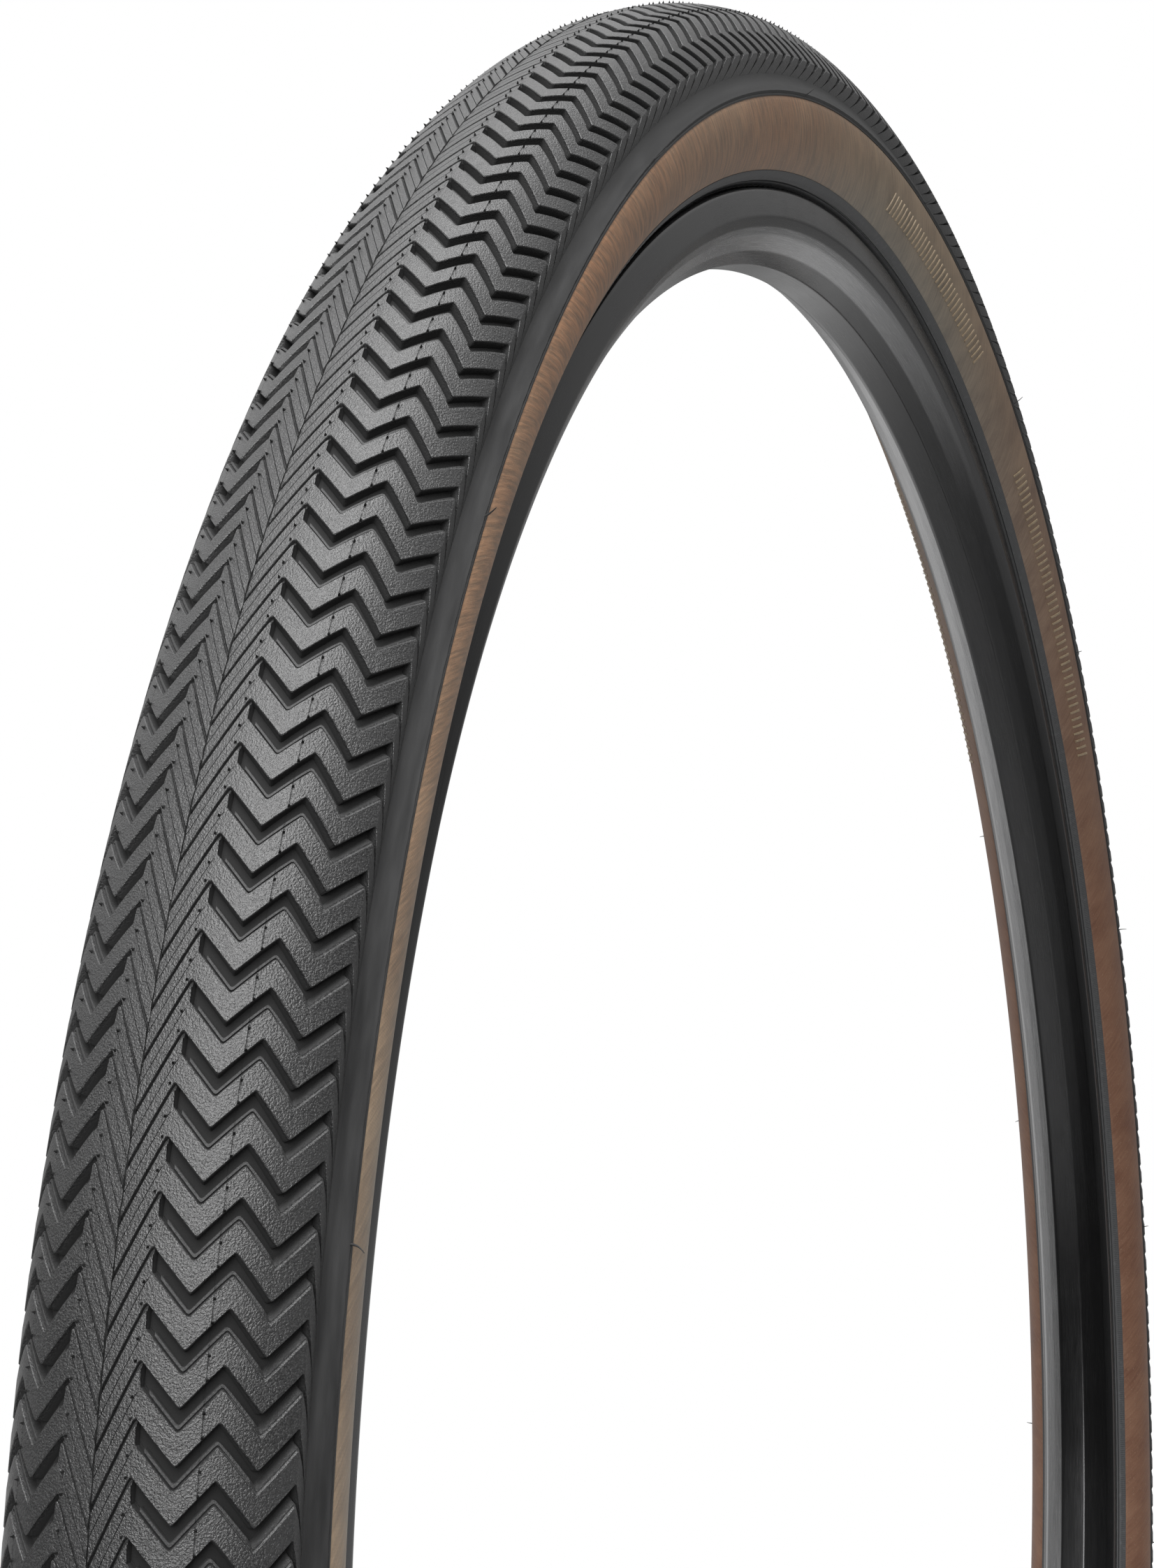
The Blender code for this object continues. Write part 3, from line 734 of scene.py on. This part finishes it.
def make_wings():
    """The smooth wing under the lugs, with the crimped line that ends the black rubber.

    Its outlines are (distance across the tread, depth) in mm, and the crimp is cut into three
    of the outer points at every other step.
    """
    steps = PITCHES * 3
    outer = [(31.0, 1.35), (31.6, 1.3), (32.6, 1.05), (33.6, 0.6), (34.5, 0.12), (34.85, 0.0),
             (35.0, -0.14), (35.15, -0.2), (35.3, -0.14), (35.42, 0.0), (35.6, 0.14), (35.75, 0.14),
             (35.9, 0.0), (36.2, 0.0)]
    crimped = range(6, 9)
    inner = [(36.2, 0.7), (33.6, 1.8), (31.0, 2.6)]
    distance, depth = np.array(outer + inner).T * MM
    for word, side in SIDES:
        outlines = []
        for i in range(steps):
            heights = depth.copy()
            for j in crimped:
                heights[j] += 0.07 * MM if i % 2 else 0.0
            r, y = section_point(angle_at(distance), heights)
            outlines.append(counter_clockwise(np.stack([r, y * side], -1)))
        wing = axle_ring("tread_wing_" + word, outlines, WING)
        place(wing, "root", "tread_rubber", "tread_cap")


def pyramids(name, sites, mat):
    """Small pointed nubs of rubber: sites are (distance across, angle round, side)."""
    points, faces = [], []
    for distance, turn, side in sites:
        first = len(points)
        root_r, _ = surface_point(distance, NUB_ROOT)
        tip_r, tip_y = surface_point(distance, -NUB_HEIGHT)
        for across, round_it in ((-1, -1), (1, -1), (1, 1), (-1, 1)):
            r, y = surface_point(distance + across * NUB_HALF, NUB_ROOT)
            corner_turn = turn + round_it * NUB_HALF / root_r
            points.append((r * math.cos(corner_turn), side * y, r * math.sin(corner_turn)))
        points.append((tip_r * math.cos(turn), side * tip_y, tip_r * math.sin(turn)))
        for face in ((0, 3, 2, 1), (0, 1, 4), (1, 2, 4), (2, 3, 4), (3, 0, 4)):
            ordered = face if side > 0 else face[::-1]
            faces.append(tuple(first + v for v in ordered))
    return new_object(name, points, faces, mat, TREAD_SMOOTHING)


def make_moulding_marks():
    """What the mould leaves: small nubs along its joint lines and a ragged fin at the middle."""
    # the flash nubs take the near-black painted shade; the lug nubs are plain wing rubber
    kinds = (("flash_nubs_", FLASH_NUBS, FLASH), ("lug_nubs_", LUG_NUBS, WING))
    for word, side in SIDES:
        for name, places, mat in kinds:
            sites = []
            for pitch in range(PITCHES):
                for distance, offset in places:
                    travel = pitch * PITCH + PHASES[side] + groove_line(distance * MM) + offset * MM
                    sites.append((distance * MM, travel / TIRE_R, side))
            nubs = pyramids(name + word, sites, mat)
            place(nubs, "root", "tread_rubber")
    random.seed(3)
    outlines = []
    for _ in range(PITCHES * 6):
        top = TIRE_R + random.uniform(0.0, 1.0) * FIN_HEIGHT
        lean = random.uniform(-0.12, 0.12) * MM
        root = TIRE_R - FIN_ROOT
        outlines.append(counter_clockwise([(root, -0.16 * MM), (top, lean - 0.03 * MM),
                                           (top, lean + 0.03 * MM), (root, 0.16 * MM)]))
    # the centre fin also takes the near-black painted shade
    fin = axle_ring("centre_fin", outlines, FLASH, smooth_angle=15.0)
    place(fin, "root", "tread_rubber")


def make_vent_hairs():
    """Thin rubber hairs left by the mould's vents, curling off the edge of the black rubber."""
    random.seed(11)
    sides, segments = 8, 7
    for word, side in SIDES:
        points, faces = [], []
        for i in range(HAIRS):
            turn = math.radians(HAIR_START + i * 360.0 / HAIRS + (side > 0) * 7.0)
            length = random.uniform(2.0, 3.4) * MM
            bend = random.uniform(-1.0, 1.0)
            r, y = surface_point(HAIR_PLACE, 0.1 * MM)
            root = Vector((r * math.cos(turn), side * y, r * math.sin(turn)))
            out = Vector((0.35 * math.cos(turn), side, 0.35 * math.sin(turn))).normalized()
            round_it = Vector((-math.sin(turn), 0.0, math.cos(turn)))
            first = len(points)
            for k in range(segments + 1):
                share = k / segments
                centre = root + out * length * share + round_it * bend * length * 0.4 * share ** 2
                centre += Vector((math.cos(turn), 0, math.sin(turn))) * length * 0.2 * share ** 2
                thick = HAIR_R * (1.0 - 0.65 * share)
                across = out.cross(round_it)
                for j in range(sides):
                    a = TAU * j / sides
                    points.append(centre + (round_it * math.cos(a) + across * math.sin(a)) * thick)
            for k in range(segments):
                for j in range(sides):
                    a, b = first + k * sides, first + (k + 1) * sides
                    n = (j + 1) % sides
                    faces.append((a + j, b + j, b + n, a + n))
            faces.append(tuple(first + j for j in range(sides)))
            faces.append(tuple(first + segments * sides + j for j in reversed(range(sides))))
        hairs = new_object("vent_hairs_" + word, points, faces, WING, 60.0)
        place(hairs, "root", "tread_rubber")


# ---- sidewalls and chafers ------------------------------------------------------------------
def section_outline(distances, depths, side):
    r, y = section_point(angle_at(np.array(distances)), np.array(depths))
    return np.stack([r, y * side], -1)


def make_sidewalls():
    """The tan rubber from the wing to the bead strip, with its two edges drawn in a little."""
    outer = np.linspace(WING_END + 0.02 * MM, WALL_END, 26)
    inner = outer[::-5]
    distances = np.concatenate([outer, inner])
    depths = np.concatenate([np.full(len(outer), WALL_DEPTH), np.full(len(inner), 0.9 * MM)])
    depths[[0, len(outer) - 1]] = 0.16 * MM
    for word, side in SIDES:
        wall = axle_ring("sidewall_skin_" + word, section_outline(distances, depths, side), TAN)
        place(wall, "root", "tan_rubber", "sidewall_" + word)


def make_raised_marks():
    """Plain slanted bars moulded on the sidewall, in groups round the wheel."""
    pitch, length, half_width, height, slant = 3.1 * MM, 5.6 * MM, 0.55 * MM, 0.3 * MM, 2.2 * MM
    low = 42.2 * MM           # across the tread, where a bar starts
    for word, side in SIDES:
        points, faces = [], []
        for centre, bars in MARK_GROUPS:
            for bar in range(bars):
                middle = math.radians(centre) + (bar - bars / 2) * pitch / MARK_R
                first = len(points)
                for lift, inset in ((0.2 * MM, 0.0), (-height, 0.16 * MM)):
                    for end, edge in ((0, -1), (0, 1), (0.5, 1), (1, 1), (1, -1), (0.5, -1)):
                        trim = inset if end == 0 else -inset if end == 1 else 0.0
                        distance = low + end * length + trim
                        lean = slant * (end - 0.5)
                        turn = middle + (edge * (half_width - inset) + lean) / MARK_R
                        r, y = surface_point(distance, WALL_DEPTH + lift)
                        points.append((r * math.cos(turn), side * y, r * math.sin(turn)))
                new = [(0, 5, 2, 1), (5, 4, 3, 2), (6, 7, 8, 11), (11, 8, 9, 10)]
                new += [(i, (i + 1) % 6, 6 + (i + 1) % 6, 6 + i) for i in range(6)]
                for face in new:
                    ordered = face if side > 0 else face[::-1]
                    faces.append(tuple(first + v for v in ordered))
        marks = new_object("raised_bars_" + word, points, faces, MARK, 30.0)
        place(marks, "root", "tan_rubber")


def make_chafers():
    """The woven strip: a band, a dotted line, a thin groove and a knurled ridge at the rim.

    The band is (distance across the tread, depth) in mm, the ridge (radius, y) in metres.
    """
    steps = 1440
    band = [(53.14, 0.02), (53.5, -0.06), (54.3, -0.08), (54.85, -0.06), (55.0, -0.16),
            (55.15, -0.16), (55.3, -0.06), (55.9, -0.02), (56.1, 0.45), (56.25, 0.45), (56.4, 0.0)]
    ridge = [(0.31780, 0.01085), (0.31755, 0.01125), (0.31735, 0.01150), (0.31722, 0.01120),
             (0.31715, 0.01060), (0.31680, 0.01020), (0.31210, 0.01005), (0.31190, 0.00725),
             (0.31230, 0.00725), (0.31240, 0.00965), (0.31680, 0.00965)]
    distance, depth = np.array(band).T * MM
    for word, side in SIDES:
        outlines = []
        for i in range(steps):
            heights = depth.copy()
            heights[4:6] += 0.09 * MM if i % 2 else 0.0
            r, y = section_point(angle_at(distance), heights)
            knurl = 0.16 * MM * (1 if i % 3 == 0 else -0.4)
            edge = [(r1 + (knurl if 0 < k < 4 else 0.0), y1 + (knurl if 0 < k < 3 else 0.0))
                    for k, (r1, y1) in enumerate(ridge)]
            back = section_point(angle_at(distance[::-2]), 0.5 * MM)
            outline = np.concatenate([np.stack([r, y], -1), edge, np.stack(back, -1)[1:]])
            outline[:, 1] *= side
            outlines.append(counter_clockwise(outline))
        chafer = axle_ring("chafer_strip_" + word, outlines, CHAFER, smooth_angle=40.0)
        place(chafer, "root", "chafer_fabric", "chafer_" + word)


# ---- hidden layers ----------------------------------------------------------------------------
def make_layers():
    """The pieces inside the tire: the CAD's own sections, swept smooth."""
    layers = {"casing_ply": CASING, "inner_liner": BUTYL, "breaker_belt": BELT,
              "bead_core_left": ARAMID, "bead_core_right": ARAMID}
    slots = {"casing_ply": "cord_fabric", "inner_liner": "butyl", "breaker_belt": "belt_fabric"}
    for name, mat in layers.items():
        outline = cad_outlines(name, 2, 1)[0]
        ring = axle_ring(name + "_smooth", outline, mat, 360)
        place(ring, "root", slots.get(name, "aramid"), name)


# ---- rim ------------------------------------------------------------------------------------
def drill(obj, hole):
    """Cut the hole's shape out of the object."""
    cut = obj.modifiers.new("valve hole", "BOOLEAN")
    cut.operation = "DIFFERENCE"
    cut.solver = "EXACT"
    cut.object = hole
    graph = bpy.context.evaluated_depsgraph_get()
    mesh = bpy.data.meshes.new_from_object(obj.evaluated_get(graph))
    obj.modifiers.clear()
    obj.data = mesh


def joined(name, parts):
    """One object of several, for an outline that has an inner and an outer loop."""
    with bpy.context.temp_override(active_object=parts[0], selected_editable_objects=parts):
        bpy.ops.object.join()
    parts[0].name = name
    return parts[0]


def make_rim():
    """The hollow hoop and its tape, both drilled for the valve, and the pins at the hoop's joint."""
    bpy.ops.mesh.primitive_cylinder_add(
        vertices=48, radius=VALVE_HOLE_R, depth=DRILL_LENGTH, location=(0.0, 0.0, -RIM_WALL_R))
    hole = bpy.context.object
    outer, hollow = cad_outlines("rim_hoop", 2, 1)
    shell = axle_ring("rim_outer", rounded(outer, RIM_ROUNDING, 3), RIM, 720, 30.0)
    core = axle_ring("rim_hollow", hollow, RIM, 240, 30.0)
    core.data.flip_normals()
    rim = joined("rim_hoop_smooth", [shell, core])
    drill(rim, hole)
    place(rim, "root", "anodised_aluminium", "rim_hoop")
    tape = axle_ring("rim_tape_smooth", cad_outlines("rim_tape", 2, 1)[0], TAPE, 480)
    drill(tape, hole)
    place(tape, "root", "tape_film", "rim_tape")
    bpy.data.objects.remove(hole)
    for name in ("rim_joint_pin_left", "rim_joint_pin_right"):
        NODES[name].data.materials.clear()
        NODES[name].data.materials.append(STEEL)


# ---- valve, turned about Z --------------------------------------------------------------------
def weld(obj):
    """Join the points that meet on the turning axis."""
    shape = bmesh.new()
    shape.from_mesh(obj.data)
    bmesh.ops.remove_doubles(shape, verts=shape.verts, dist=1e-7)
    bmesh.ops.dissolve_degenerate(shape, edges=shape.edges, dist=1e-7)
    shape.to_mesh(obj.data)
    shape.free()
    obj.data.set_sharp_from_angle(angle=math.radians(35.0))


def divided(outline, longest):
    """The closed outline with points added along its long edges."""
    out = []
    for corner, after in zip(outline, np.roll(outline, -1, axis=0)):
        pieces = max(1, math.ceil(np.linalg.norm(after - corner) / longest))
        out.extend(corner + (after - corner) * i / pieces for i in range(pieces))
    return np.array(out)


def fluted(outline, steps, inner_r, flutes, cut, from_z=-1.0, to_z=1.0):
    """The outline at each step of the turn, with flutes cut in what stands outside inner_r."""
    outlines = []
    for i in range(steps):
        shape = np.array(outline)
        share = 0.5 - 0.5 * math.cos(TAU * flutes * i / steps)
        outside = (shape[:, 0] > inner_r) & (shape[:, 1] > from_z) & (shape[:, 1] < to_z)
        shape[outside, 0] -= cut * share
        outlines.append(shape)
    return outlines


def make_stem():
    """The threaded stem on its round flange. The thread climbs one pitch in each turn."""
    base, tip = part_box("valve_stem")[0].z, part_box("valve_stem")[1].z
    flange_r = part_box("valve_stem")[1].x
    bore = min(point[0] for point in cad_outlines("valve_stem", 1, 2)[0])
    steps = 40
    heights = np.arange(base + 1.3 * MM, tip - 0.3 * MM, THREAD_PITCH / 6)
    foot = [(bore, base), (flange_r - 0.2 * MM, base), (flange_r, base + 0.2 * MM),
            (flange_r, base + 0.8 * MM), (flange_r - 0.2 * MM, base + 1.0 * MM),
            (STEM_R, base + 1.0 * MM)]
    outlines = []
    for i in range(steps):
        phase = (heights / THREAD_PITCH + i / steps) % 1.0
        ridge = 1.0 - np.abs(2.0 * phase - 1.0)
        radii = STEM_R - THREAD_DEPTH * np.clip(1.4 * ridge - 0.2, 0.0, 1.0)
        outlines.append(foot + list(zip(radii, heights)) + [(STEM_R - 0.5 * MM, tip), (bore, tip)])
    stem = stem_ring("valve_stem_threaded", outlines, STEM_METAL)
    place(stem, "root", "valve_metal", "valve_stem")


def make_turned_pieces():
    """The valve's pieces with a bore: CAD outlines, rounded, knurled where fingers hold them."""
    turned = (("valve_grommet", "root", SEAL, "valve_rubber", 0.25 * MM, 0),
              ("valve_lock_ring", "lock_ring", SEAL, "valve_rubber", 0.2 * MM, 0),
              ("valve_lock_nut", "lock_nut", STEM_METAL, "valve_metal", 0.15 * MM, 30),
              ("valve_core_body", "root", BRASS, "brass", 0.12 * MM, 0),
              ("valve_core_seal", "core_pin", SEAL, "valve_rubber", 0.12 * MM, 0),
              ("valve_core_nut", "core_nut", BRASS, "brass", 0.12 * MM, 16))
    for name, body, mat, slot, radius, flutes in turned:
        outline = counter_clockwise(rounded(cad_outlines(name, 1, 2)[0], radius, 3))
        middle = (outline[:, 0].min() + outline[:, 0].max()) / 2
        steps = flutes * 6 if flutes else 64
        outlines = fluted(outline, steps, middle, flutes, 0.22 * MM) if flutes else outline
        piece = stem_ring(name + "_turned", outlines, mat, steps)
        place(piece, body, slot, name)


def make_closed_pieces():
    """The core's pin and the dust cap, which close on the turning axis. The cap has finger flutes."""
    for name, body, mat, slot, flutes in (("valve_core_pin", "core_pin", BRASS, "brass", 0),
                                          ("valve_cap", "valve_cap", PLASTIC, "cap_plastic", 20)):
        path = cad_outlines(name, 1, 2)[0]
        outline = rounded([(0.0, path[0][1]), *path, (0.0, path[-1][1])], 0.18 * MM, 3)
        outline[:, 0] = np.maximum(outline[:, 0], 0.0)
        outlines = counter_clockwise(divided(outline, 0.5 * MM))
        steps = 48
        if flutes:
            steps = flutes * 6
            low = outlines[:, 1].min()
            outlines = fluted(outlines, steps, 3.7 * MM, flutes, 0.2 * MM,
                              low + 1.2 * MM, low + 9.0 * MM)
        piece = stem_ring(name + "_turned", outlines, mat, steps)
        weld(piece)
        place(piece, body, slot, name)


def make_valve():
    make_stem()
    make_turned_pieces()
    make_closed_pieces()


# ---- studio ---------------------------------------------------------------------------------
def make_world():
    """White behind the object; it lights the object dimly.

    The light grows with height, towards the left and towards -X, and low down towards +X.
    """
    world = bpy.data.worlds.new("studio")
    world.use_nodes = True
    tree = world.node_tree
    tree.nodes.clear()
    direction = node(tree, "ShaderNodeTexCoord").outputs["Generated"]
    x, y, z = node(tree, "ShaderNodeSeparateXYZ", {0: direction}).outputs
    surround = times(tree, fade(tree, z, *SURROUND_BY_HEIGHT), fade(tree, x, *SURROUND_BY_FRONT))
    surround = times(tree, surround, fade(tree, y, *SURROUND_BY_SIDE))
    onward = plus(tree, x, times(tree, y, BELOW_LEAN))
    below = times(tree, fade(tree, z, *BELOW_BY_HEIGHT), fade(tree, onward, *BELOW_BY_PLACE))
    glow = plus(tree, surround, below)
    lighting = node(tree, "ShaderNodeBackground", {"Color": (1.0, 1.0, 1.0, 1.0), "Strength": glow})
    backdrop = node(tree, "ShaderNodeBackground", {"Color": (1.0, 1.0, 1.0, 1.0), "Strength": 1.0})
    seen = node(tree, "ShaderNodeLightPath").outputs["Is Camera Ray"]
    mix = node(tree, "ShaderNodeMixShader",
               {0: seen, 1: lighting.outputs[0], 2: backdrop.outputs[0]})
    node(tree, "ShaderNodeOutputWorld", {"Surface": mix.outputs[0]})
    bpy.context.scene.world = world
    bpy.context.scene.view_settings.view_transform = "Standard"


def make_floor():
    """A pale round floor that fades out at its edge."""
    bpy.ops.mesh.primitive_circle_add(
        vertices=96, radius=FLOOR_R, fill_type="NGON", location=(0.0, 0.0, FLOOR_Z - 0.5 * MM))
    floor = bpy.context.object
    floor.name = "floor"
    mat, tree, shader = new_material("pale_floor", (0.80, 0.80, 0.80), 0.9, Specular_IOR_Level=0.0)
    length = node(tree, "ShaderNodeVectorMath", {0: object_place(tree)}, operation="LENGTH")
    link(tree, fade(tree, length.outputs["Value"], 0.4 * FLOOR_R, FLOOR_R, 1.0, 0.0), shader, "Alpha")
    floor.data.materials.append(mat)


def area_light(name, place_at, aim, size, power):
    data = bpy.data.lights.new(name, "AREA")
    data.shape = "RECTANGLE"
    data.size, data.size_y = size
    data.energy = power
    data.spread = math.radians(PANEL_SPREAD)
    lamp = bpy.data.objects.new(name, data)
    lamp.location = place_at
    lamp.visible_camera = False
    lamp.rotation_euler = (Vector(aim) - Vector(place_at)).to_track_quat("-Z", "Y").to_euler()
    bpy.context.scene.collection.objects.link(lamp)


def make_arch():
    """Softboxes in an arch from low in front of the wheel to above it, all aimed at its near side."""
    for turn, y, power in ARCH_PANELS:
        turn = math.radians(turn)
        where = (ARCH_R * math.cos(turn), y, ARCH_R * math.sin(turn))
        area_light("softbox", where, ARCH_AIM, PANEL_SIZE, power)


def make_camera():
    forward = CAMERA_FORWARD.normalized()
    up = CAMERA_RIGHT.normalized().cross(forward).normalized()
    right = forward.cross(up).normalized()
    data = bpy.data.cameras.new("camera")
    data.sensor_fit = "HORIZONTAL"
    data.sensor_width = 36.0
    data.lens = CAMERA_LENS
    data.shift_x, data.shift_y = CAMERA_SHIFT
    data.clip_start = 0.01
    camera = bpy.data.objects.new("camera", data)
    turned = Matrix((right, up, -forward)).transposed().to_4x4()
    camera.matrix_world = Matrix.Translation(CAMERA_PLACE) @ turned
    bpy.context.scene.collection.objects.link(camera)
    bpy.context.scene.camera = camera


make_camera()
make_world()
make_floor()
make_arch()

make_tread()
make_wings()
make_moulding_marks()
make_vent_hairs()
make_sidewalls()
make_raised_marks()
make_chafers()
make_layers()
make_rim()
make_valve()
